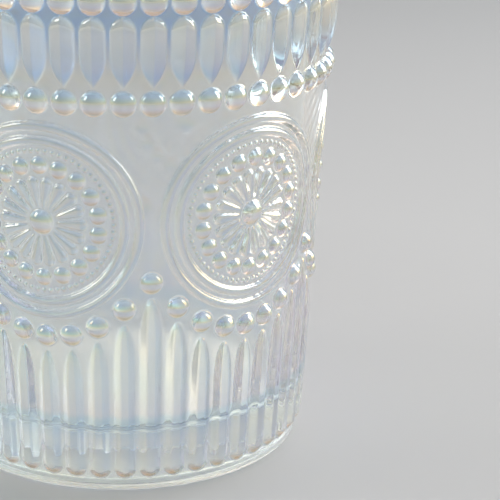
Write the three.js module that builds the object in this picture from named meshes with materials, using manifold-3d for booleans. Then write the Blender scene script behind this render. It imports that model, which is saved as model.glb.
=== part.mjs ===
// A pressed-glass rocks glass: a heavy base, a tapered wall pressed with six rosette medallions
// between beaded and fluted bands, and a plain polished rim. Millimetres, +Z up, the origin on the
// table at the glass's axis, with the middle of a medallion facing -Y.
import * as THREE from 'three';
import { mergeVertices } from 'three/addons/utils/BufferGeometryUtils.js';
import Module from 'manifold-3d';

const wasm = await Module();
wasm.setup();

// Overall form
const HEIGHT = 104;
const FOOT_RADIUS = 35.2;
const RIM_RADIUS = 41.1;
const WALL_AT_RIM = 2.6;
const WALL_AT_FLOOR = 4.4;
const FLOOR_HEIGHT = 10.5;
const COVE_RADIUS = 4;
const SEAM_GAP = 0.3;

// Base
const FOOT_HEIGHT = 2.7;
const FOOT_EDGE_RADIUS = 1.1;
const REST_RING_WIDTH = 5;
const REST_RECESS_DEPTH = 1.2;

// Rim
const RIM_MARGIN = 0.7;

// Pattern of the wall: columns of beads and flutes, so many to each medallion
const MEDALLIONS = 6;
const COLUMNS_PER_MEDALLION = 8;

// Bead rows and the flutes between them
const LIP_TO_BEADS = 10.1;
const BEAD_ROW_SPACING = 17.9;
const BEAD_RADIUS = 2.4;
const BEAD_RISE = 1.7;
const UPPER_FLUTE_WIDTH = 4.4;
const UPPER_FLUTE_RISE = 1.2;
const FLUTE_TIP = 2.8;
const FLUTE_TO_BEAD = 0.2;

// Medallion
const BEADS_TO_MEDALLION = 22.4;
const OUTER_RING_RADIUS = 17.8;
const INNER_RING_RADIUS = 15.2;
const RING_WIDTH = 1.7;
const RING_RISE = 0.8;
const RING_VALLEY = 0.15;
const ROSETTE_BEADS = 18;
const ROSETTE_RADIUS = 10.6;
const ROSETTE_BEAD_RADIUS = 1.7;
const ROSETTE_BEAD_RISE = 1;
const PETAL_START = 2.7;
const PETAL_END = 8.5;
const PETAL_WIDTH = 2.3;
const PETAL_RISE = 0.8;
const CENTRE_BEAD_RADIUS = 2.4;
const CENTRE_BEAD_RISE = 1.3;

// Garland of beads under the medallion, and the flutes below it
const GARLAND_RADIUS = 22.1;
const JUNCTION_DROP = 1.8;
const GARLAND_BEAD_RADIUS = 2.1;
const GARLAND_BEAD_RISE = 1.5;
const LOWER_FLUTE_WIDTH = 3.6;
const LOWER_FLUTE_RISE = 0.9;
const GARLAND_TO_FLUTE = 1;
const FLUTE_ABOVE_FOOT = 0.3;

// Number of flat faces that stand for each curve
const STUD_SIDES = 6;
const FLUTE_SIDES = 6;
const RING_STEPS = 18;
const ARC_STEPS = 2;

// How far an ornament reaches into the wall that it grows from
const ORNAMENT_ROOT = 0.4;

// Sizes that follow from those above
const COLUMNS = MEDALLIONS * COLUMNS_PER_MEDALLION;
const COLUMN_ANGLE = (2 * Math.PI) / COLUMNS;
const PANEL_ANGLE = (2 * Math.PI) / MEDALLIONS;
const UPPER_BEADS_HEIGHT = HEIGHT - LIP_TO_BEADS;
const LOWER_BEADS_HEIGHT = UPPER_BEADS_HEIGHT - BEAD_ROW_SPACING;
const MEDALLION_HEIGHT = LOWER_BEADS_HEIGHT - BEADS_TO_MEDALLION;
const PANEL_TOP = UPPER_BEADS_HEIGHT + BEAD_RADIUS + RIM_MARGIN;
const COVE_TOP = FLOOR_HEIGHT + COVE_RADIUS;

const wallRadius = (z) => FOOT_RADIUS + ((RIM_RADIUS - FOOT_RADIUS) * z) / HEIGHT;

// The inside is a cone of its own, so that the wall thickens towards the floor.
function insideRadius(z) {
  const atFloor = wallRadius(FLOOR_HEIGHT) - WALL_AT_FLOOR;
  const atRim = RIM_RADIUS - WALL_AT_RIM;
  return atFloor + ((atRim - atFloor) * (z - FLOOR_HEIGHT)) / (HEIGHT - FLOOR_HEIGHT);
}

const FLOOR_RADIUS = insideRadius(COVE_TOP) - COVE_RADIUS;

function solid(geometry) {
  const bare = geometry.clone();
  bare.deleteAttribute('normal');
  bare.deleteAttribute('uv');
  const merged = mergeVertices(bare);
  return new wasm.Manifold(
    new wasm.Mesh({
      numProp: 3,
      vertProperties: merged.attributes.position.array,
      triVerts: new Uint32Array(merged.index.array),
    }),
  );
}

function geometryOf(made) {
  const mesh = made.getMesh();
  const geometry = new THREE.BufferGeometry();
  geometry.setAttribute('position', new THREE.BufferAttribute(mesh.vertProperties, 3));
  geometry.setIndex(new THREE.BufferAttribute(mesh.triVerts, 1));
  geometry.computeVertexNormals();
  return geometry;
}

// A solid of revolution about +Z, from a closed profile of (radius, height) points that runs
// upwards on its outside. Each column of the pattern lies in the middle of a facet.
function revolve(profile) {
  const points = [...profile, profile[0]].map(([r, z]) => new THREE.Vector2(r, z));
  const lathe = new THREE.LatheGeometry(points, COLUMNS, COLUMN_ANGLE / 2, 2 * Math.PI);
  return lathe.rotateX(Math.PI / 2);
}

// Points on a quarter-round arc or a part of one, from one angle to another.
function arc(centreR, centreZ, radius, from, to) {
  return Array.from({ length: ARC_STEPS + 1 }, (_, i) => {
    const angle = from + ((to - from) * i) / ARC_STEPS;
    return [centreR + radius * Math.cos(angle), centreZ + radius * Math.sin(angle)];
  });
}

// Sets an ornament (x across, y up, z out of the wall) on the wall at a column angle and height,
// leaning with the wall.
function seat(geometry, angle, height) {
  const lean = Math.atan2(RIM_RADIUS - FOOT_RADIUS, HEIGHT);
  geometry.rotateX(Math.PI / 2 - lean);
  return geometry.translate(0, -wallRadius(height), height).rotateZ(angle);
}

// Bends an ornament that is laid out flat round the wall, with its middle at a medallion's middle.
function wrapOnMedallion(geometry) {
  const position = geometry.attributes.position;
  for (let i = 0; i < position.count; i++) {
    const turn = position.getX(i) / wallRadius(MEDALLION_HEIGHT);
    const z = MEDALLION_HEIGHT + position.getY(i);
    const r = wallRadius(z) + position.getZ(i);
    position.setXYZ(i, r * Math.sin(turn), -r * Math.cos(turn), z);
  }
  return geometry;
}

// Seats an ornament of the medallion so far from its middle, in the direction of a clock angle.
function seatOnMedallion(geometry, distance, clock) {
  const angle = (distance * Math.sin(clock)) / wallRadius(MEDALLION_HEIGHT);
  return seat(geometry.rotateZ(-clock), angle, MEDALLION_HEIGHT + distance * Math.cos(clock));
}

// A round bead: a ball of twenty faces that stands on one corner, with its lower belt of corners
// in the wall.
function bead(radius, rise) {
  const golden = (1 + Math.sqrt(5)) / 2;
  const ball = new THREE.IcosahedronGeometry(1, 0).rotateX(Math.atan(1 / golden));
  const beltHeight = 1 / Math.sqrt(5);
  const beltRadius = 2 * beltHeight;
  const stretch = (rise + ORNAMENT_ROOT) / (1 + beltHeight);
  ball.scale(radius / beltRadius, radius / beltRadius, stretch);
  return ball.translate(0, 0, rise - stretch);
}

// A small bead: a low point on a round root.
function stud(radius, rise) {
  const cone = new THREE.ConeGeometry(radius, rise + ORNAMENT_ROOT, STUD_SIDES);
  return cone.rotateX(Math.PI / 2).translate(0, 0, (rise - ORNAMENT_ROOT) / 2);
}

// A flute: a straight rib with a flat crest and two pointed ends, centred on its own middle.
function flute(width, rise, length) {
  const half = length / 2;
  const shoulder = half - FLUTE_TIP;
  const outline = [[0, -half], [width / 2, -shoulder], [width / 2, shoulder], [0, half]];
  const points = outline.map(([r, y]) => new THREE.Vector2(r, y));
  const halfFacet = Math.PI / FLUTE_SIDES;
  const rib = new THREE.LatheGeometry(points, FLUTE_SIDES, halfFacet, 2 * Math.PI);
  const crest = (width / 2) * Math.cos(halfFacet);
  return rib.scale(1, 1, (rise + ORNAMENT_ROOT) / crest).translate(0, 0, -ORNAMENT_ROOT);
}

// A petal, about its own middle: a kite that is long and narrow below and short and broad above,
// rising to a point over its broadest place.
function petal() {
  const half = (PETAL_END - PETAL_START) / 2;
  const broad = half - PETAL_WIDTH / 2;
  const kite = new THREE.ConeGeometry(1, PETAL_RISE + ORNAMENT_ROOT, 4);
  kite.rotateX(Math.PI / 2).translate(0, 0, (PETAL_RISE - ORNAMENT_ROOT) / 2);
  const position = kite.attributes.position;
  for (let i = 0; i < position.count; i++) {
    const along = position.getY(i);
    const atTip = Math.abs(along) > 0.5;
    position.setX(i, (position.getX(i) * PETAL_WIDTH) / 2);
    position.setY(i, atTip ? along * half : broad);
  }
  return kite;
}

// The medallion's double ring: two crests with a shallow valley between them.
function doubleRing() {
  const half = RING_WIDTH / 2;
  const profile = [
    [INNER_RING_RADIUS - half, -ORNAMENT_ROOT],
    [OUTER_RING_RADIUS + half, -ORNAMENT_ROOT],
    [OUTER_RING_RADIUS, RING_RISE],
    [(INNER_RING_RADIUS + OUTER_RING_RADIUS) / 2, RING_VALLEY],
    [INNER_RING_RADIUS, RING_RISE],
  ];
  const points = [...profile, profile[0]].map(([r, z]) => new THREE.Vector2(r, z));
  return new THREE.LatheGeometry(points, RING_STEPS).rotateX(Math.PI / 2);
}

// Height of a garland bead so many columns from the middle of its medallion. It follows a circle
// about the medallion, and the bead where two medallions meet hangs a little lower.
function garlandHeight(column) {
  const across = column * COLUMN_ANGLE * wallRadius(MEDALLION_HEIGHT);
  const onCircle = MEDALLION_HEIGHT - Math.sqrt(GARLAND_RADIUS ** 2 - across ** 2);
  const atJunction = Math.abs(column) === COLUMNS_PER_MEDALLION / 2;
  return atJunction ? onCircle - JUNCTION_DROP : onCircle;
}

function medallionOrnaments() {
  const step = (2 * Math.PI) / ROSETTE_BEADS;
  const petalMiddle = (PETAL_START + PETAL_END) / 2;
  const made = [
    wrapOnMedallion(doubleRing()),
    seatOnMedallion(bead(CENTRE_BEAD_RADIUS, CENTRE_BEAD_RISE), 0, 0),
  ];
  for (let i = 0; i < ROSETTE_BEADS; i++) {
    const rosetteBead = stud(ROSETTE_BEAD_RADIUS, ROSETTE_BEAD_RISE);
    made.push(seatOnMedallion(rosetteBead, ROSETTE_RADIUS, i * step));
    made.push(seatOnMedallion(petal(), petalMiddle, (i + 0.5) * step));
  }
  return made;
}

// What one column of the pattern holds: two beads with a flute between them near the rim, and
// a garland bead with a flute under it.
function columnOrnaments(column) {
  const angle = column * COLUMN_ANGLE;
  const reach = BEAD_RADIUS + FLUTE_TO_BEAD;
  const upperLength = UPPER_BEADS_HEIGHT - LOWER_BEADS_HEIGHT - 2 * reach;
  const upperMiddle = (UPPER_BEADS_HEIGHT + LOWER_BEADS_HEIGHT) / 2;
  const garland = garlandHeight(column);
  const lowerTop = garland - GARLAND_BEAD_RADIUS - GARLAND_TO_FLUTE;
  const lowerBottom = FOOT_HEIGHT + FLUTE_ABOVE_FOOT;
  const lowerFlute = flute(LOWER_FLUTE_WIDTH, LOWER_FLUTE_RISE, lowerTop - lowerBottom);
  return [
    seat(bead(BEAD_RADIUS, BEAD_RISE), angle, UPPER_BEADS_HEIGHT),
    seat(flute(UPPER_FLUTE_WIDTH, UPPER_FLUTE_RISE, upperLength), angle, upperMiddle),
    seat(bead(BEAD_RADIUS, BEAD_RISE), angle, LOWER_BEADS_HEIGHT),
    seat(bead(GARLAND_BEAD_RADIUS, GARLAND_BEAD_RISE), angle, garland),
    seat(lowerFlute, angle, (lowerTop + lowerBottom) / 2),
  ];
}

// A wedge about -Y that holds one panel, half a seam short of its neighbours on each side.
function panelWedge() {
  const reach = 2 * RIM_RADIUS;
  const side = PANEL_ANGLE / 2;
  const back = SEAM_GAP / 2 / Math.sin(side);
  const outline = new THREE.Shape();
  outline.moveTo(0, -back);
  outline.lineTo(-reach * Math.sin(side), -back - reach * Math.cos(side));
  outline.lineTo(reach * Math.sin(side), -back - reach * Math.cos(side));
  return new THREE.ExtrudeGeometry(outline, { depth: HEIGHT, bevelEnabled: false });
}

// One sixth of the wall, from its seat on the foot up to the rim, with its ornaments.
function medallionPanel() {
  const heel = FLOOR_RADIUS + SEAM_GAP;
  const cove = arc(FLOOR_RADIUS, COVE_TOP, COVE_RADIUS, 0, -Math.PI / 2);
  const wall = solid(
    revolve([
      [heel, FOOT_HEIGHT],
      [wallRadius(FOOT_HEIGHT), FOOT_HEIGHT],
      [wallRadius(PANEL_TOP), PANEL_TOP],
      [insideRadius(PANEL_TOP), PANEL_TOP],
      ...cove.slice(0, -1),
      [heel, FLOOR_HEIGHT],
    ]),
  );
  const ornaments = medallionOrnaments();
  const edge = COLUMNS_PER_MEDALLION / 2;
  for (let column = -edge; column <= edge; column++) ornaments.push(...columnOrnaments(column));
  const wedge = solid(panelWedge());
  const bare = wall.intersect(wedge);
  const dressed = ornaments.map(solid).reduce((whole, ornament) => whole.add(ornament), bare);
  const inside = solid(revolve([[0, 0], [heel, 0], [heel, HEIGHT], [0, HEIGHT]]));
  return geometryOf(dressed.intersect(wedge).subtract(inside));
}

// The heavy bottom of the glass: a foot that the panels stand on, a raised middle that is the
// floor of the bowl, and a shallow recess beneath that leaves a flat ring to rest on.
function baseGeometry() {
  const restOuter = FOOT_RADIUS - FOOT_EDGE_RADIUS;
  const restInner = restOuter - REST_RING_WIDTH;
  const profile = [
    [0, REST_RECESS_DEPTH],
    [restInner - REST_RECESS_DEPTH, REST_RECESS_DEPTH],
    [restInner, 0],
    ...arc(restOuter, FOOT_EDGE_RADIUS, FOOT_EDGE_RADIUS, -Math.PI / 2, 0),
    [wallRadius(FOOT_HEIGHT), FOOT_HEIGHT],
    [FLOOR_RADIUS, FOOT_HEIGHT],
    [FLOOR_RADIUS, FLOOR_HEIGHT],
    [0, FLOOR_HEIGHT],
  ];
  return revolve(profile);
}

// The plain lip, fire-polished to a full round at the top.
function rimGeometry() {
  const inner = insideRadius(HEIGHT);
  const half = (RIM_RADIUS - inner) / 2;
  const profile = [
    [insideRadius(PANEL_TOP), PANEL_TOP],
    [wallRadius(PANEL_TOP), PANEL_TOP],
    ...arc(inner + half, HEIGHT - half, half, 0, Math.PI),
  ];
  return revolve(profile);
}

function glass() {
  return new THREE.MeshStandardMaterial({
    color: 0xdfe6ea,
    roughness: 0.03,
    metalness: 0,
    transparent: true,
    opacity: 0.35,
  });
}

function piece(name, geometry) {
  const mesh = new THREE.Mesh(geometry, glass());
  mesh.name = name;
  return mesh;
}

const rocksGlass = new THREE.Group();
rocksGlass.add(piece('base', baseGeometry()));
rocksGlass.add(piece('rim', rimGeometry()));
const panelGeometry = medallionPanel();
for (let i = 0; i < MEDALLIONS; i++) {
  const turned = new THREE.Group();
  turned.rotation.z = i * PANEL_ANGLE;
  turned.add(piece(`medallion_panel_${i + 1}`, panelGeometry));
  rocksGlass.add(turned);
}

export default rocksGlass;
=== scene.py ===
"""Dresses the rocks glass: one piece of pressed glass with beads, flutes and rosette medallions."""
import math

import bpy
import numpy as np
from mathutils import Matrix, Vector


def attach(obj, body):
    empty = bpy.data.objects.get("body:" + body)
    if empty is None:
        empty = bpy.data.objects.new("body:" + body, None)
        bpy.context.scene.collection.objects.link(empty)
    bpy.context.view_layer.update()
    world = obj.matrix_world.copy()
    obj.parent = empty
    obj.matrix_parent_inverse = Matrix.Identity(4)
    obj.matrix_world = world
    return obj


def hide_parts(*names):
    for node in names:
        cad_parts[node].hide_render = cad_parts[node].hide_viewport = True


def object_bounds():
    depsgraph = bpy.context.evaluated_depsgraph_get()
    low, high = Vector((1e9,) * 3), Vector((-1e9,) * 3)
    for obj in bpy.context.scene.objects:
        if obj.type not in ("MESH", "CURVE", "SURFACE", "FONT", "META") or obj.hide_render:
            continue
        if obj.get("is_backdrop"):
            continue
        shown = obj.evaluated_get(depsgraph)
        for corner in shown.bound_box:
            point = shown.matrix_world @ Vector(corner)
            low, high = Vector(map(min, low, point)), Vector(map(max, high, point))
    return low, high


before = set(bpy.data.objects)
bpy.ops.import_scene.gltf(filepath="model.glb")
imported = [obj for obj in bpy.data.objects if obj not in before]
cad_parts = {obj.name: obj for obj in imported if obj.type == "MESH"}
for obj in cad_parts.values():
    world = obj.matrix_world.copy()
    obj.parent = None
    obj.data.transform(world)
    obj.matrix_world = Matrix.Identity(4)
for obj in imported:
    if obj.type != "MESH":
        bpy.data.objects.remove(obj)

bl_info = {
    "name": "Pressed Rocks Glass",
    "version": (1, 0, 0),
    "blender": (4, 5, 0),
    "location": "View3D > Sidebar > Glass",
    "description": "Builds a pressed rocks glass with medallions, its lustre and its studio",
    "category": "Add Mesh",
}

MM = 0.001
WHITE = (1.0, 1.0, 1.0)

# Vertex values for the lustre's tint: how far the surface is relief, and how far it takes the
# painted sheen that beads have in full
RELIEF = "relief"
SHEEN_ATTRIBUTE = "hue"

# Steps of the section's rounded corners, rows of the plain inside, and rings of the flat discs
RECESS_STEPS = 6
EDGE_STEPS = 8
LIP_STEPS = 16
COVE_STEPS = 12
INSIDE_ROWS = 40
REST_SHARES = (0.3, 0.6)
DISC_SHARES = (0.25, 0.5, 0.75, 0.9)

# Forms of the relief: how much of a ridge is a plain roof, how full an upper flute's point is, the
# power by which a petal widens, and the share of an upper flute's rise at which the relief's tint
# and its painted light are full
ROOF_SHARE = 0.5
POINT_FULLNESS = 0.8
PETAL_SPREAD = 0.6
TINT_SHARE = 0.25

# Least values that keep a rib's tip from a division by nothing, in metres and as a share
LEAST_WIDTH = 1e-9
LEAST_SHARE = 1e-6

# How far up a level surface faces, how far at most a wall does, and how far aside a flank does
LEVEL_SLOPE = 0.9
WALL_SLOPE = 0.6
FLANK_LEAN = 0.08

# Clouds in the film: their number to a metre, their detail, and the range of the noise that shows
CLOUD_SCALE = 60.0
CLOUD_DETAIL = 1.0
CLOUD_LOW = 0.3
CLOUD_HIGH = 0.7

# Floor in metres: its reach, its drop below the table's level, and where its tints of painted light
# and shade lie
FLOOR_REACH = 6.0
FLOOR_DROP = 0.0001
FLOOR_NEAR = 0.15
FLOOR_BEHIND = 0.5
FLOOR_FAR = 1.0
FLOOR_ROUGHNESS = 0.9

# Room and windows, as the camera sees them: to its right, away from it and up. Each window has a
# side, a width and height in metres, and a place in metres from the middle of the glass's foot
ROOM_DIRECTION = (0.7, 0.45, 0.55)
ROOM_SPAN = 0.6
LAMP_TARGET = (0.0, 0.0, 0.05)
WINDOWS = (
    ("left", (0.35, 0.5), (-0.95, -0.1, 0.55)),
    ("right", (0.8, 0.9), (0.95, 0.3, 0.5)),
    ("back", (0.9, 0.8), (0.6, 0.75, 1.0)),
)

# Camera: width of its sensor in millimetres, and the nearest that it sees in metres
SENSOR_WIDTH = 36.0
NEAR_CLIP = 0.01

# Light bounces, many because thick glass is black without them
BOUNCES = {
    "max_bounces": 24,
    "glossy_bounces": 12,
    "transmission_bounces": 18,
    "transparent_max_bounces": 18,
}


def length(name, millimetres, description):
    """A length property whose default is given in millimetres."""
    return bpy.props.FloatProperty(
        name=name, description=description, default=millimetres * MM, min=0.0, unit="LENGTH"
    )


def angle(name, degrees, description):
    """An angle property whose default is given in degrees."""
    return bpy.props.FloatProperty(
        name=name, description=description, default=math.radians(degrees), subtype="ANGLE"
    )


def number(name, value, description):
    """A plain number."""
    return bpy.props.FloatProperty(name=name, description=description, default=value)


def count(name, value, description):
    """A whole number of at least one."""
    return bpy.props.IntProperty(name=name, description=description, default=value, min=1)


def colour(name, value, description):
    """A linear colour."""
    return bpy.props.FloatVectorProperty(
        name=name, description=description, default=value, size=3, min=0.0, subtype="COLOR"
    )


class GlassForm(bpy.types.PropertyGroup):
    """The plain shape of the glass without its ornament."""

    foot_radius: length("Foot radius", 35.2, "Outer radius at the table")
    rim_radius: length("Rim radius", 41.1, "Outer radius at the lip")
    wall_at_rim: length("Wall at rim", 2.6, "Thickness of the wall at the lip")
    wall_at_floor: length("Wall at floor", 4.4, "Thickness of the wall at the floor")
    floor_height: length("Floor height", 10.5, "Height of the bowl's floor above the table")
    cove_radius: length("Cove radius", 4.0, "Radius between the floor and the wall inside")
    foot_height: length("Foot height", 2.7, "Height of the plain band under the flutes")
    foot_edge: length("Foot edge", 1.1, "Rounding at the foot's outer edge")
    rest_width: length("Rest width", 5.0, "Width of the flat ring that the glass stands on")
    rest_recess: length("Rest recess", 1.2, "Depth of the recess inside that ring")


class WallPattern(bpy.types.PropertyGroup):
    """The beads and flutes in columns round the wall."""

    medallions: count("Medallions", 6, "Medallions round the glass")
    columns: count("Columns", 8, "Columns of beads and flutes to each medallion")
    upper_beads: length("Upper beads", 93.9, "Height of the upper bead row")
    lower_beads: length("Lower beads", 76.0, "Height of the lower bead row")
    bead_radius: length("Bead radius", 2.4, "Radius of a bead in the rows")
    bead_rise: length("Bead rise", 1.6, "How far such a bead stands out")
    upper_width: length("Upper flute width", 4.7, "Width of a flute between the bead rows")
    upper_rise: length("Upper flute rise", 1.2, "How far such a flute stands out")
    upper_arch: length("Upper flute arch", 3.0, "Length of such a flute's round upper end")
    upper_tip: length("Upper flute tip", 5.4, "Length of such a flute's pointed lower end")
    upper_gap: length("Upper flute gap", 0.2, "Clear wall between a bead and a flute's point")
    garland_radius: length("Garland radius", 22.1, "Radius of the garland round the medallion")
    junction_drop: length("Junction drop", 1.8, "Extra drop of the bead between two medallions")
    garland_bead: length("Garland bead", 2.1, "Radius of a bead in the garland")
    garland_rise: length("Garland rise", 1.5, "How far such a bead stands out")
    lower_width: length("Lower flute width", 4.2, "Width of a flute under the garland")
    lower_rise: length("Lower flute rise", 1.0, "How far such a flute stands out")
    lower_crest: number("Lower flute crest", 0.4, "Share of such a flute's width that is flat")
    lower_tip: length("Lower flute tip", 8.0, "Length of such a flute's pointed upper end")
    lower_gap: length("Lower flute gap", 1.0, "Clear wall between a garland bead and its flute")
    lower_start: length("Lower flute start", 0.3, "Clear wall between the foot band and the flutes")


class Medallion(bpy.types.PropertyGroup):
    """One rosette medallion."""

    height: length("Height", 53.6, "Height of the medallion's middle")
    outer_ring: length("Outer ring", 17.8, "Radius of the outer ring's crest")
    inner_ring: length("Inner ring", 15.2, "Radius of the inner ring's crest")
    ring_width: length("Ring width", 1.7, "Width of each ring")
    ring_rise: length("Ring rise", 0.8, "How far each ring stands out")
    dots: count("Dots", 64, "Fine dots inside the rings")
    dot_circle: length("Dot circle", 13.2, "Radius of the circle of dots")
    dot_radius: length("Dot radius", 0.46, "Radius of a dot")
    dot_rise: length("Dot rise", 0.4, "How far a dot stands out")
    beads: count("Beads", 18, "Small beads of the rosette, and its petals")
    bead_circle: length("Bead circle", 10.6, "Radius of the circle of small beads")
    bead_radius: length("Bead radius", 1.7, "Radius of a small bead")
    bead_rise: length("Bead rise", 1.0, "How far a small bead stands out")
    petal_start: length("Petal start", 2.7, "Distance of a petal's point from the middle")
    petal_end: length("Petal end", 8.5, "Distance of a petal's round end from the middle")
    petal_width: length("Petal width", 2.3, "Greatest width of a petal")
    petal_rise: length("Petal rise", 0.8, "How far a petal stands out")
    centre_radius: length("Centre radius", 2.4, "Radius of the bead in the middle")
    centre_rise: length("Centre rise", 1.3, "How far that bead stands out")


class Finish(bpy.types.PropertyGroup):
    """The glass itself, the lustre on its outside, and the light and shade painted into the
    lustre's tint.
    """

    column_steps: count("Steps per column", 24, "Mesh steps across one column of the pattern")
    row_step: length("Row step", 0.22, "Mesh step up the wall")
    glass: colour("Glass", (0.98, 0.99, 0.995), "Colour of the clear glass")
    lustre: colour("Lustre", (0.985, 1.0, 1.0), "Pearly tint of the lustre on the bare wall")
    # The bare wall between the upper flutes and the upper flutes' lower ends are painted darker and
    # blue; the cream above the lower beads is a painted highlight
    band: colour("Band", (0.21, 0.47, 0.85), "Tint of the bare wall between the upper flutes")
    band_foot_highlight: colour("Band foot", (0.90, 0.86, 0.76), "Tint of that wall above the lower beads")
    flute_foot: colour("Flute foot", (0.43, 0.67, 0.94), "Tint of the upper flutes' lower ends")
    # Painted sheen: the film's hues painted on the relief by the way it faces, darker and blue on
    # top, darker and orange below; beads take it in full, other relief a share
    sheen_up: colour("Facing up", (0.42, 0.65, 0.93), "Tint of beads that face up")
    sheen_rising: colour("Rising", (0.57, 0.84, 0.68), "Tint of beads that face less far up")
    sheen_level: colour("Level", (0.94, 0.88, 0.50), "Tint of beads that face a little up")
    sheen_out: colour("Facing out", (1.0, 0.985, 0.95), "Tint of beads that face outwards")
    sheen_falling: colour("Falling", (0.96, 0.90, 0.98), "Tint of beads that face a little down")
    sheen_down: colour("Facing down", (0.95, 0.62, 0.32), "Tint of beads that face down")
    plain_sheen: number("Plain hue", 0.3, "Share of these tints on flutes, rings and petals")
    # Painted light and shade: relief facing left round the glass lighter and cream, facing right
    # darker and blue
    lit_flank: colour("Facing left", (1.0, 0.975, 0.88), "Tint of other relief facing left")
    shaded_flank: colour("Facing right", (0.66, 0.80, 0.97), "Tint of other relief facing right")
    # Painted sheen: the lower flutes' lower ends orange and darker
    caps: colour("Caps", (0.86, 0.48, 0.18), "Tint of the lower flutes' lower ends")
    # Painted shade: the bottom of the foot band, by the table, darker grey
    foot_shade: colour("Foot tint", (0.82, 0.83, 0.82), "Tint of the plain band under the flutes")
    base_tint: colour("Base tint", (0.95, 0.98, 1.0), "Tint of the thick base")
    # Painted refraction: the bowl's floor seen through the wall, painted on the outside as a blue
    # band with lilac above it
    refracted_floor_line: colour("Floor line", (0.64, 0.78, 0.93), "Tint round the bowl's floor")
    refracted_above_line: colour("Above floor line", (0.94, 0.87, 0.97), "Tint of the wall just above that")
    refraction: number("Refraction", 1.5, "Index of refraction of the glass")
    film_refraction: number("Film refraction", 2.4, "Index of refraction of the lustre film")
    film_at_rim: number("Film at rim", 88.0, "Thickness of the film at the rim in nanometres")
    film_at_garland: number("Film at garland", 124.0, "Its thickness on the garland in nanometres")
    film_at_foot: number("Film at foot", 114.0, "Its thickness at the foot in nanometres")
    film_below: number("Film below", 85.0, "Extra nanometres where the surface faces down")
    film_clouds: number("Film clouds", 9.0, "How far the film's thickness wanders in nanometres")
    roughness: number("Roughness", 0.01, "Roughness of the polished glass")
    far_roughness: number("Far roughness", 0.5, "Softness of the wall seen through another")
    far_flatness: number("Far flatness", 0.75, "How far the far wall's relief fades there")
    clearness: number("Clearness", 0.94, "Share of the lustre's light that passes through")
    shade: colour("Shade", (0.70, 0.73, 0.72), "Lamplight that passes each steep surface")


class Studio(bpy.types.PropertyGroup):
    """The camera, the lamps and the floor."""

    azimuth: angle("Azimuth", 22.4035, "Where the camera stands, from -Y towards +X")
    distance: length("Distance", 335.69, "Distance of the camera from the glass's axis")
    height: length("Height", 149.22, "Height of the camera")
    pitch: angle("Pitch", 18.5704, "How far the camera looks down")
    yaw: angle("Yaw", 4.3328, "How far the camera looks to the right of the axis")
    roll: angle("Roll", 1.0599, "How far the camera leans")
    lens: number("Lens", 126.65, "Focal length on a 36 mm sensor")
    floor: colour("Floor", (0.555, 0.56, 0.565), "Colour of the floor round the glass")
    # Painted light and shade: the floor darker half a metre from the glass and lighter again a
    # metre out
    floor_behind: colour("Floor behind", (0.39, 0.40, 0.41), "Colour of the floor behind the glass")
    floor_far: colour("Far floor", (0.80, 0.81, 0.82), "Colour of the floor beyond that")
    room_dark: colour("Room dark", (0.23, 0.26, 0.30), "Light of the room in front on the left")
    room_light: colour("Room light", (0.60, 0.60, 0.61), "Light of the room behind on the right")
    window: colour("Window", (1.0, 0.97, 0.92), "Colour of the windows")
    left_power: number("Left window", 1.5, "Power of the window on the left in watts")
    right_power: number("Right window", 8.6, "Power of the window on the right in watts")
    back_power: number("Back window", 4.3, "Power of the high window behind on the right in watts")


class GlassSettings(bpy.types.PropertyGroup):
    """All the settings of the glass."""

    form: bpy.props.PointerProperty(type=GlassForm)
    pattern: bpy.props.PointerProperty(type=WallPattern)
    medallion: bpy.props.PointerProperty(type=Medallion)
    finish: bpy.props.PointerProperty(type=Finish)
    studio: bpy.props.PointerProperty(type=Studio)


def wall_radius(form, top, z):
    """Outer radius of the plain wall at a height."""
    return form.foot_radius + (form.rim_radius - form.foot_radius) * z / top


def inside_radius(form, top, z):
    """Radius of the bowl's inside at a height."""
    at_floor = wall_radius(form, top, form.floor_height) - form.wall_at_floor
    at_rim = form.rim_radius - form.wall_at_rim
    share = (z - form.floor_height) / (top - form.floor_height)
    return at_floor + (at_rim - at_floor) * share


def dome(distance, radius, rise):
    """Height of a round bead so far from its middle."""
    ball = (radius**2 + rise**2) / (2 * rise)
    reach = np.minimum(distance, radius)
    return np.sqrt(ball**2 - reach**2) - (ball - rise)


def crown(across, rise):
    """Height of a full round rib at a share of its half-width: 0 on its crest, 1 at its edge."""
    return rise * np.sqrt(1.0 - np.minimum(across, 1.0) ** 2)


def ridge(across, rise):
    """Height of a rib whose two sides meet in a soft ridge, at a share of its half-width."""
    share = np.minimum(across, 1.0)
    return rise * (ROOF_SHARE * (1.0 - share) + (1.0 - ROOF_SHARE) * np.sqrt(1.0 - share**2))


def facets(across, rise, crest):
    """Height of a rib with a flat crest and two flat sides, at a share of its half-width."""
    return rise * np.clip((1.0 - across) / (1.0 - crest), 0.0, 1.0)


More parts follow.
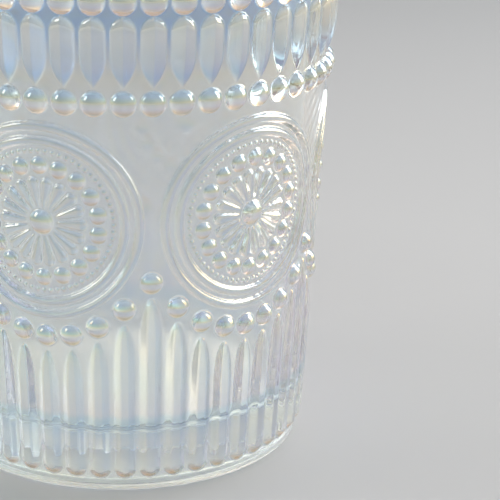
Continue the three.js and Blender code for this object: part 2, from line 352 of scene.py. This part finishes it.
def column_relief(pattern, medallion, form, top, turn, z):
    """Heights of the beads in rows and garland, and of the flutes, above the plain wall."""
    step = 2 * math.pi / (pattern.medallions * pattern.columns)
    nearest = np.round(turn / step)
    radius = wall_radius(form, top, z)
    across = (turn - nearest * step) * radius
    half = pattern.columns // 2
    column = np.abs((nearest + half) % pattern.columns - half)

    beads = np.zeros_like(across)
    for row in (pattern.upper_beads, pattern.lower_beads):
        distance = np.hypot(across, z - row)
        beads = np.maximum(beads, dome(distance, pattern.bead_radius, pattern.bead_rise))

    reach = pattern.bead_radius + pattern.upper_gap
    middle = (pattern.upper_beads + pattern.lower_beads) / 2
    long_half = (pattern.upper_beads - pattern.lower_beads) / 2 - reach
    arch = np.clip((middle + long_half - z) / pattern.upper_arch, 0.0, 1.0)
    point = np.clip((z - middle + long_half) / pattern.upper_tip, 0.0, 1.0)
    round_end = np.sqrt(1.0 - (1.0 - arch) ** 2)
    sharp_end = point * (1.0 + POINT_FULLNESS - POINT_FULLNESS * point)
    width = np.maximum(pattern.upper_width / 2 * round_end * sharp_end, LEAST_WIDTH)
    upper = ridge(np.abs(across) / width, pattern.upper_rise) * np.sqrt(round_end) * sharp_end

    medallion_radius = wall_radius(form, top, medallion.height)
    offset = column * step * medallion_radius
    garland = medallion.height - np.sqrt(pattern.garland_radius**2 - offset**2)
    garland = np.where(column == half, garland - pattern.junction_drop, garland)
    hung = dome(np.hypot(across, z - garland), pattern.garland_bead, pattern.garland_rise)

    width = pattern.lower_width / 2
    high = garland - pattern.garland_bead - pattern.lower_gap
    low = form.foot_height + pattern.lower_start + width
    point = np.clip((high - z) / pattern.lower_tip, 0.0, 1.0)
    share = np.maximum(np.sqrt(1.0 - (1.0 - point) ** 2), LEAST_SHARE)
    beyond = np.maximum(0.0, low - z)
    away = np.hypot(across, beyond) / (width * share)
    lower = facets(away, pattern.lower_rise, pattern.lower_crest) * share
    return np.maximum(beads, hung), np.maximum(upper, lower)


def medallion_relief(pattern, medallion, form, top, turn, z):
    """Heights of the medallions' beads, and of their rings and petals, above the plain wall."""
    sector = 2 * math.pi / pattern.medallions
    radius = wall_radius(form, top, medallion.height)
    across = (turn - np.round(turn / sector) * sector) * radius
    up = z - medallion.height
    out = np.hypot(across, up)
    clock = np.arctan2(across, up)

    half = medallion.ring_width / 2
    rings = crown(np.abs(out - medallion.outer_ring) / half, medallion.ring_rise)
    rings = np.maximum(rings, crown(np.abs(out - medallion.inner_ring) / half, medallion.ring_rise))

    def around(many, start):
        step = 2 * math.pi / many
        return clock - (np.round(clock / step - start) + start) * step

    def beads_on(circle, many, size, rise):
        away = around(many, 0.0)
        distance = np.hypot(out * np.cos(away) - circle, out * np.sin(away))
        return dome(distance, size, rise)

    dots = beads_on(
        medallion.dot_circle, medallion.dots, medallion.dot_radius, medallion.dot_rise
    )
    beads = beads_on(
        medallion.bead_circle, medallion.beads, medallion.bead_radius, medallion.bead_rise
    )

    away = around(medallion.beads, 0.5)
    along = out * np.cos(away)
    side = np.abs(out * np.sin(away))
    broad = medallion.petal_width / 2
    round_middle = medallion.petal_end - broad
    taper = round_middle - medallion.petal_start
    grown = np.clip((along - medallion.petal_start) / taper, 0.0, 1.0)
    width = np.maximum(broad * grown**PETAL_SPREAD, LEAST_WIDTH)
    over = np.maximum(0.0, along - round_middle)
    petal = crown(np.hypot(side, over) / width, medallion.petal_rise) * np.sqrt(grown)
    petal = np.where(along > medallion.petal_start, petal, 0.0)
    centre = dome(out, medallion.centre_radius, medallion.centre_rise)
    return np.maximum(np.maximum(dots, beads), centre), np.maximum(rings, petal)


def arc(centre, radius, start, end, steps):
    """Points (radius, height) on an arc, from one angle to another."""
    turns = np.linspace(start, end, steps + 1)
    return [(centre[0] + radius * math.cos(t), centre[1] + radius * math.sin(t)) for t in turns]


def section(form, finish, top):
    """The section of the glass from the middle of its underside, up the outside, over the lip and
    down to the middle of its floor, with the row at which the underside ends and the range of rows
    that carry relief."""
    rest_outer = form.foot_radius - form.foot_edge
    rest_inner = rest_outer - form.rest_width
    recess = [(rest_inner * share, form.rest_recess) for share in DISC_SHARES]
    middle = (rest_inner - form.rest_recess, 0.0)
    hollow = arc(middle, form.rest_recess, math.pi / 2, 0.0, RECESS_STEPS)
    under = recess + hollow + [(rest_inner + form.rest_width * share, 0.0) for share in REST_SHARES]
    edge = arc((rest_outer, form.foot_edge), form.foot_edge, -math.pi / 2, 0.0, EDGE_STEPS)

    lip = form.wall_at_rim / 2
    rows = int(round((top - lip - form.foot_edge) / finish.row_step))
    heights = np.linspace(form.foot_edge, top - lip, rows + 1)[1:-1]
    wall = [(wall_radius(form, top, z), z) for z in heights]
    rim = arc((form.rim_radius - lip, top - lip), lip, 0.0, math.pi, LIP_STEPS)

    cove_top = form.floor_height + form.cove_radius
    floor_radius = inside_radius(form, top, cove_top) - form.cove_radius
    depths = np.linspace(top - lip, cove_top, INSIDE_ROWS + 2)[1:-1]
    inside = [(inside_radius(form, top, z), z) for z in depths]
    cove = arc((floor_radius, cove_top), form.cove_radius, 0.0, -math.pi / 2, COVE_STEPS)
    floor = [(floor_radius * share, form.floor_height) for share in reversed(DISC_SHARES)]

    points = under + edge + wall + rim + inside + cove + floor
    first = len(under) + len(edge)
    return np.array(points), len(under), first, first + len(wall)


def glass_mesh(settings, top):
    """One closed mesh of the whole glass with its relief. The inside and the underside are bare."""
    form, pattern, finish = settings.form, settings.pattern, settings.finish
    points, edge, first, last = section(form, finish, top)
    steps = pattern.medallions * pattern.columns * finish.column_steps
    turn = np.linspace(0.0, 2 * math.pi, steps, endpoint=False)
    radius = np.repeat(points[:, :1], steps, axis=1)
    z = np.repeat(points[:, 1:], steps, axis=1)
    turns = np.repeat(turn[None, :], last - first, axis=0)
    wall = slice(first, last)
    hung, flutes = column_relief(pattern, settings.medallion, form, top, turns, z[wall])
    rosette, lines = medallion_relief(pattern, settings.medallion, form, top, turns, z[wall])
    beads = np.maximum(hung, rosette)
    relief = np.maximum(beads, np.maximum(flutes, lines))
    radius[wall] += relief
    raised = np.zeros_like(z)
    raised[wall] = np.minimum(relief / (TINT_SHARE * pattern.upper_rise), 1.0)
    # Share of the painted sheen: full on beads, a part on other relief
    sheen_share = np.zeros_like(z)
    sheen_share[wall] = np.where((beads >= relief) & (beads > 0.0), 1.0, finish.plain_sheen)

    rows = len(points)
    ring = np.stack([radius * np.sin(turn), -radius * np.cos(turn), z], axis=-1).reshape(-1, 3)
    poles = [[0.0, 0.0, points[0, 1]], [0.0, 0.0, points[-1, 1]]]
    vertices = np.concatenate([ring, poles])

    here = np.arange(steps)
    after = (here + 1) % steps
    base = np.arange(rows - 1)[:, None] * steps
    above = base + steps
    quads = np.stack([base + here, base + after, above + after, above + here], axis=-1)
    under, floor = rows * steps, rows * steps + 1
    start = np.stack([np.full(steps, under), after, here], axis=-1)
    top_row = (rows - 1) * steps
    end = np.stack([np.full(steps, floor), top_row + here, top_row + after], axis=-1)

    loops = np.concatenate([quads.reshape(-1), start.reshape(-1), end.reshape(-1)])
    sides = np.concatenate([np.full((rows - 1) * steps, 4), np.full(2 * steps, 3)])
    starts = np.concatenate([[0], np.cumsum(sides)[:-1]])
    row = np.arange(rows - 1)
    uncoated = (row < edge) | (row >= last + LIP_STEPS // 2)
    bare = np.concatenate([np.repeat(uncoated, steps), np.full(2 * steps, True)])
    mesh = bpy.data.meshes.new("glass")
    mesh.vertices.add(len(vertices))
    mesh.vertices.foreach_set("co", vertices.astype(np.float32).reshape(-1))
    mesh.loops.add(len(loops))
    mesh.loops.foreach_set("vertex_index", loops.astype(np.int32))
    mesh.polygons.add(len(sides))
    mesh.polygons.foreach_set("loop_start", starts.astype(np.int32))
    mesh.polygons.foreach_set("material_index", bare.astype(np.int32))
    mesh.polygons.foreach_set("use_smooth", np.full(len(sides), True))
    mesh.update(calc_edges=True)
    mesh.validate()
    for name, values in ((RELIEF, raised), (SHEEN_ATTRIBUTE, sheen_share)):
        kept = mesh.attributes.new(name, "FLOAT", "POINT")
        whole = np.append(values.reshape(-1), [0.0, 0.0])
        kept.data.foreach_set("value", whole.astype(np.float32))
    return mesh


def shader(name):
    """A new material with its node tree, its surface shader and its output."""
    material = bpy.data.materials.new(name)
    material.use_nodes = True
    tree = material.node_tree
    return material, tree, tree.nodes["Principled BSDF"], tree.nodes["Material Output"]


def node(tree, kind, output, inputs, **settings):
    """A new node with these settings and inputs, linked or plain, and its output of that name."""
    made = tree.nodes.new(kind)
    for name, value in settings.items():
        setattr(made, name, value)
    for name, value in inputs.items():
        if isinstance(value, bpy.types.NodeSocket):
            tree.links.new(value, made.inputs[name])
        else:
            made.inputs[name].default_value = value
    return made.outputs[output]


def place(tree, output="Object"):
    """Where a point lies on its object, or with Normal the way that the surface faces there."""
    return node(tree, "ShaderNodeTexCoord", output, {})


def light_path(tree, output):
    """What is known of the ray that arrives."""
    return node(tree, "ShaderNodeLightPath", output, {})


def upward(tree, vector):
    """The upward part of a vector."""
    return node(tree, "ShaderNodeSeparateXYZ", "Z", {"Vector": vector})


def maths(tree, operation, *values):
    """The result of a calculation with numbers."""
    return node(tree, "ShaderNodeMath", "Value", dict(enumerate(values)), operation=operation)


def vectors(tree, operation, *values, output="Vector"):
    """The result of a calculation with vectors."""
    inputs = dict(enumerate(values))
    return node(tree, "ShaderNodeVectorMath", output, inputs, operation=operation)


def ranged(tree, value, start, end, low=0.0, high=1.0):
    """A value brought from one range to another and held within it."""
    inputs = {"Value": value, "From Min": start, "From Max": end, "To Min": low, "To Max": high}
    return node(tree, "ShaderNodeMapRange", "Result", inputs)


def mixed(tree, kind, share, one, other, **settings):
    """A blend from one colour or vector to another."""
    inputs = {"Factor": share, "A": one, "B": other}
    return node(tree, "ShaderNodeMix", "Result", inputs, data_type=kind, **settings)


def times(tree, one, other):
    """The product of two colours."""
    return mixed(tree, "RGBA", 1.0, one, other, blend_type="MULTIPLY")


def tint_ramp(tree, value, stops):
    """A colour that changes with a value, from stops of a value and a colour."""
    ramp = tree.nodes.new("ShaderNodeValToRGB")
    marks = ramp.color_ramp.elements
    while len(marks) < len(stops):
        marks.new(1.0)
    for mark, (position, tint) in zip(marks, stops):
        mark.position = position
        mark.color = (*tint, 1.0)
    tree.links.new(value, ramp.inputs["Fac"])
    return ramp.outputs["Color"]


def by_height(tree, top, stops):
    """A colour that changes with the height, from stops of a height and a colour."""
    share = maths(tree, "DIVIDE", upward(tree, place(tree)), top)
    return tint_ramp(tree, share, [(height / top, tint) for height, tint in stops])


def by_slope(tree, slope, stops):
    """A colour that changes with a slope between -1 and 1, from stops of a slope and a colour."""
    share = ranged(tree, slope, -1.0, 1.0)
    return tint_ramp(tree, share, [((at + 1) / 2, tint) for at, tint in stops])


def by_facing(tree, stops):
    """A colour that changes from where the surface faces down, at -1, to where up, at 1."""
    return by_slope(tree, upward(tree, place(tree, "Normal")), stops)


def by_flank(tree, stops):
    """A colour that changes from where relief faces left round the glass, at -1, to right, at 1."""
    along = vectors(tree, "CROSS_PRODUCT", (0.0, 0.0, 1.0), place(tree))
    even = vectors(tree, "NORMALIZE", along)
    lean = vectors(tree, "DOT_PRODUCT", even, place(tree, "Normal"), output="Value")
    return by_slope(tree, lean, stops)


def let_lamps_through(tree, surface, output, tint):
    """Lets lamplight pass the glass, all of it where that is level, so that the shadow is pale."""
    stops = [(-LEVEL_SLOPE, WHITE), (-WALL_SLOPE, tint), (WALL_SLOPE, tint), (LEVEL_SLOPE, WHITE)]
    clear = node(tree, "ShaderNodeBsdfTransparent", "BSDF", {"Color": by_facing(tree, stops)})
    inputs = {"Fac": light_path(tree, "Is Shadow Ray"), 1: surface.outputs["BSDF"], 2: clear}
    tree.links.new(node(tree, "ShaderNodeMixShader", "Shader", inputs), output.inputs["Surface"])


def soften_far_wall(tree, surface, finish, form):
    """Polished glass that looks soft on its far side, seen through the near wall or the base.
    Gives the share of that softness."""
    through = ranged(tree, light_path(tree, "Transmission Depth"), 1.0, 2.0)
    within = ranged(tree, light_path(tree, "Ray Depth"), 1.0, 2.0)
    cove_top = form.floor_height + form.cove_radius
    low = ranged(tree, upward(tree, place(tree)), cove_top, form.floor_height)
    share = maths(tree, "MAXIMUM", through, maths(tree, "MULTIPLY", within, low))
    rough = ranged(tree, share, 0.0, 1.0, finish.roughness, finish.far_roughness)
    tree.links.new(rough, surface.inputs["Roughness"])
    return share


def flatten_far_relief(tree, surface, share, amount):
    """Lets the far wall's relief fade: there its normals lean towards those of the plain wall."""
    level = vectors(tree, "MULTIPLY", place(tree), (1.0, 1.0, 0.0))
    outward = node(
        tree, "ShaderNodeVectorTransform", "Vector", {"Vector": level},
        vector_type="NORMAL", convert_from="OBJECT", convert_to="WORLD",
    )
    behind = node(tree, "ShaderNodeNewGeometry", "Backfacing", {})
    side = ranged(tree, behind, 0.0, 1.0, 1.0, -1.0)
    inputs = {0: outward, "Scale": side}
    plain = node(tree, "ShaderNodeVectorMath", "Vector", inputs, operation="SCALE")
    shaped = node(tree, "ShaderNodeNewGeometry", "Normal", {})
    normal = mixed(tree, "VECTOR", maths(tree, "MULTIPLY", share, amount), shaped, plain)
    tree.links.new(vectors(tree, "NORMALIZE", normal), surface.inputs["Normal"])


def clear_glass(settings):
    """The bare glass of the inside and the underside."""
    finish = settings.finish
    material, tree, surface, output = shader("clear_glass")
    surface.inputs["Base Color"].default_value = (*finish.glass, 1.0)
    surface.inputs["IOR"].default_value = finish.refraction
    surface.inputs["Transmission Weight"].default_value = 1.0
    soften_far_wall(tree, surface, finish, settings.form)
    let_lamps_through(tree, surface, output, finish.shade)
    return material


def film_thickness(tree, settings, top):
    """Thickness of the lustre film: it is thickest on the garland, thicker where the surface faces
    down, and wanders in soft clouds."""
    finish, pattern = settings.finish, settings.pattern
    most = 2 * finish.film_at_garland
    stops = (
        (0.0, [finish.film_at_foot / most] * 3),
        (settings.medallion.height - pattern.garland_radius, [finish.film_at_garland / most] * 3),
        (pattern.lower_beads, [finish.film_at_rim / most] * 3),
    )
    plain = maths(tree, "MULTIPLY", by_height(tree, top, stops), most)
    facing = upward(tree, place(tree, "Normal"))
    below = maths(tree, "MULTIPLY_ADD", facing, -finish.film_below, plain)
    inputs = {"Vector": place(tree), "Scale": CLOUD_SCALE, "Detail": CLOUD_DETAIL}
    cloud = node(tree, "ShaderNodeTexNoise", "Fac", inputs)
    wander = ranged(tree, cloud, CLOUD_LOW, CLOUD_HIGH, -finish.film_clouds, finish.film_clouds)
    return maths(tree, "ADD", below, wander)


def lustre_tint_and_painted_light(tree, settings, top):
    """Tint of the lustre with painted light and shade: by height on the bare wall, by the way it
    faces on the relief, and with zones of height over both. The stops are heights, or how far the
    surface faces up or aside."""
    finish, pattern, form = settings.finish, settings.pattern, settings.form
    band_low = pattern.lower_beads + 2 * pattern.bead_radius
    band_high = pattern.lower_beads + 5 * pattern.bead_radius
    # The bare wall between the upper flutes painted darker and blue, and cream just above the lower
    # beads as a painted highlight
    bare = (
        (pattern.lower_beads, finish.lustre),
        (band_low, finish.band_foot_highlight),
        (band_high, finish.band),
        (pattern.upper_beads, finish.band),
        (pattern.upper_beads + pattern.bead_radius, finish.lustre),
    )
    # Painted sheen: the film's hues by the way the relief faces, darker and blue on top, darker and
    # orange below
    sheen_hues = (
        (-0.6, finish.sheen_down),
        (-0.3, finish.sheen_falling),
        (-0.02, finish.sheen_out),
        (0.1, finish.sheen_level),
        (0.3, finish.sheen_rising),
        (0.55, finish.sheen_up),
    )
    # Painted light and shade: relief facing left round the glass lighter and cream, facing right
    # darker and blue
    flank_light_and_shade = ((-FLANK_LEAN, finish.lit_flank), (FLANK_LEAN, finish.shaded_flank))
    low = form.foot_height + pattern.lower_start
    ends = (
        # Painted sheen: the lower flutes' lower ends orange and darker
        (low + 0.2 * pattern.lower_width, finish.caps),
        (low + 0.5 * pattern.lower_width, WHITE),
        (pattern.lower_beads + pattern.bead_radius, WHITE),
        # The upper flutes' lower ends painted darker and blue
        (band_low, finish.flute_foot),
        (band_high, WHITE),
    )
    line = form.floor_height + form.cove_radius
    zones = (
        # Painted shade: the bottom of the foot band, by the table, darker grey
        (0.5 * form.foot_height, finish.foot_shade),
        (form.foot_height, finish.base_tint),
        (form.floor_height, finish.base_tint),
        # Painted refraction: the bowl's floor seen through the wall, a blue band with lilac above
        # it
        (line - 0.2 * form.cove_radius, finish.refracted_floor_line),
        (line + 0.2 * form.cove_radius, finish.refracted_floor_line),
        (line + 0.5 * form.cove_radius, finish.refracted_above_line),
        (line + 2 * form.cove_radius, WHITE),
    )
    sheen_share = node(tree, "ShaderNodeAttribute", "Fac", {}, attribute_name=SHEEN_ATTRIBUTE)
    hue = mixed(tree, "RGBA", sheen_share, by_flank(tree, flank_light_and_shade), by_facing(tree, sheen_hues))
    relief = times(tree, hue, by_height(tree, top, ends))
    raised = node(tree, "ShaderNodeAttribute", "Fac", {}, attribute_name=RELIEF)
    tint = mixed(tree, "RGBA", raised, by_height(tree, top, bare), relief)
    return times(tree, tint, by_height(tree, top, zones))


def lustre_glass(settings, top):
    """The outside: the same glass under a film of uneven thickness that splits the light."""
    finish = settings.finish
    material, tree, surface, output = shader("lustre_glass")
    tree.links.new(lustre_tint_and_painted_light(tree, settings, top), surface.inputs["Base Color"])
    surface.inputs["IOR"].default_value = finish.refraction
    surface.inputs["Transmission Weight"].default_value = finish.clearness
    surface.inputs["Thin Film IOR"].default_value = finish.film_refraction
    tree.links.new(film_thickness(tree, settings, top), surface.inputs["Thin Film Thickness"])
    share = soften_far_wall(tree, surface, finish, settings.form)
    flatten_far_relief(tree, surface, share, finish.far_flatness)
    let_lamps_through(tree, surface, output, finish.shade)
    return material


def floor_material(studio):
    """A pale, matt paper floor with painted light and shade: a little darker behind the glass, and
    lighter again further out.
    """
    material, tree, surface, output = shader("floor")
    away = vectors(tree, "LENGTH", place(tree), output="Value")
    # Painted light and shade: darker half a metre from the glass, lighter again a metre out
    stops = (
        (FLOOR_NEAR, studio.floor),
        (FLOOR_BEHIND, studio.floor_behind),
        (FLOOR_FAR, studio.floor_far),
    )
    tree.links.new(tint_ramp(tree, away, stops), surface.inputs["Base Color"])
    surface.inputs["Roughness"].default_value = FLOOR_ROUGHNESS
    return material


def add_object(name, data):
    """Links a new object with that data to the scene."""
    made = bpy.data.objects.new(name, data)
    bpy.context.scene.collection.objects.link(made)
    return made


class GLASS_OT_build_glass(bpy.types.Operator):
    """Builds the glass in place of its plain solids"""

    bl_idname = "rocks_glass.build_glass"
    bl_label = "Build Glass"

    def execute(self, context):
        settings = context.scene.rocks_glass
        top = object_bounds()[1][2]
        glass = add_object("glass", glass_mesh(settings, top))
        glass.data.materials.append(lustre_glass(settings, top))
        glass.data.materials.append(clear_glass(settings))
        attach(glass, "root")
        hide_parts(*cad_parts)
        return {"FINISHED"}


def room_light(studio):
    """A plain room that is brighter behind the glass on the right than in front on the left."""
    world = bpy.data.worlds.new("room")
    world.use_nodes = True
    tree = world.node_tree
    brighter = Matrix.Rotation(studio.azimuth, 3, "Z") @ Vector(ROOM_DIRECTION)
    depth = vectors(tree, "DOT_PRODUCT", place(tree, "Generated"), brighter, output="Value")
    share = ranged(tree, depth, -ROOM_SPAN, ROOM_SPAN)
    light = mixed(tree, "RGBA", share, (*studio.room_dark, 1.0), (*studio.room_light, 1.0))
    tree.links.new(light, tree.nodes["Background"].inputs["Color"])
    return world


def add_lamp(name, size, spot, target, power, tint):
    """A soft rectangular lamp that faces a point."""
    data = bpy.data.lights.new(name, "AREA")
    data.shape = "RECTANGLE"
    data.size, data.size_y = size
    data.energy = power
    data.color = tint
    lamp = add_object(name, data)
    lamp.location = spot
    lamp.rotation_euler = (Vector(target) - Vector(spot)).to_track_quat("-Z", "Y").to_euler()


def add_camera(studio):
    """The camera at the photograph's place."""
    yaw, pitch, roll = studio.yaw, studio.pitch, studio.roll
    level = Vector((math.cos(yaw), -math.sin(yaw), 0.0))
    forward = Vector((math.sin(yaw), math.cos(yaw), 0.0))
    ahead = math.cos(pitch) * forward - math.sin(pitch) * Vector((0.0, 0.0, 1.0))
    upright = level.cross(ahead)
    right = math.cos(roll) * level + math.sin(roll) * upright
    up = math.cos(roll) * upright - math.sin(roll) * level
    turn = Matrix((right, up, -ahead)).transposed().to_4x4()
    stand = Matrix.Translation((0.0, -studio.distance, studio.height))
    data = bpy.data.cameras.new("camera")
    data.sensor_width = SENSOR_WIDTH
    data.lens = studio.lens
    data.clip_start = NEAR_CLIP
    camera = add_object("camera", data)
    camera.matrix_world = Matrix.Rotation(studio.azimuth, 4, "Z") @ stand @ turn
    bpy.context.scene.camera = camera


class GLASS_OT_build_studio(bpy.types.Operator):
    """Builds the floor, the lamps and the camera"""

    bl_idname = "rocks_glass.build_studio"
    bl_label = "Build Studio"

    def execute(self, context):
        studio = context.scene.rocks_glass.studio
        scene = context.scene
        mesh = bpy.data.meshes.new("floor")
        ends = (-FLOOR_REACH, FLOOR_REACH)
        corners = [(x, y, -FLOOR_DROP) for x in ends for y in ends]
        mesh.from_pydata(corners, [], [(0, 2, 3, 1)])
        mesh.materials.append(floor_material(studio))
        floor = add_object("floor", mesh)
        floor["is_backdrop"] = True

        scene.world = room_light(studio)
        scene.view_settings.view_transform = "Standard"
        for name, value in BOUNCES.items():
            setattr(scene.cycles, name, value)
        turn = Matrix.Rotation(studio.azimuth, 3, "Z")
        for side, size, spot in WINDOWS:
            power = getattr(studio, f"{side}_power")
            spot = turn @ Vector(spot)
            add_lamp(f"{side}_window", size, spot, LAMP_TARGET, power, studio.window)
        add_camera(studio)
        return {"FINISHED"}


class GLASS_PT_panel(bpy.types.Panel):
    """Settings of the glass in the sidebar"""

    bl_idname = "GLASS_PT_panel"
    bl_label = "Rocks Glass"
    bl_space_type = "VIEW_3D"
    bl_region_type = "UI"
    bl_category = "Glass"

    def draw(self, context):
        settings = context.scene.rocks_glass
        for group in ("form", "pattern", "medallion", "finish", "studio"):
            box = self.layout.box()
            owner = getattr(settings, group)
            for name in owner.__annotations__:
                box.prop(owner, name)
        self.layout.operator(GLASS_OT_build_glass.bl_idname)
        self.layout.operator(GLASS_OT_build_studio.bl_idname)


CLASSES = (
    GlassForm,
    WallPattern,
    Medallion,
    Finish,
    Studio,
    GlassSettings,
    GLASS_OT_build_glass,
    GLASS_OT_build_studio,
    GLASS_PT_panel,
)


def register():
    """Adds the settings, the operators and the panel."""
    for made in CLASSES:
        bpy.utils.register_class(made)
    bpy.types.Scene.rocks_glass = bpy.props.PointerProperty(type=GlassSettings)


def unregister():
    """Takes them out again."""
    del bpy.types.Scene.rocks_glass
    for made in reversed(CLASSES):
        bpy.utils.unregister_class(made)


def main():
    """Builds the glass and its studio."""
    register()
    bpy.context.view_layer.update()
    bpy.ops.rocks_glass.build_glass()
    bpy.ops.rocks_glass.build_studio()


if __name__ == "__main__":
    main()
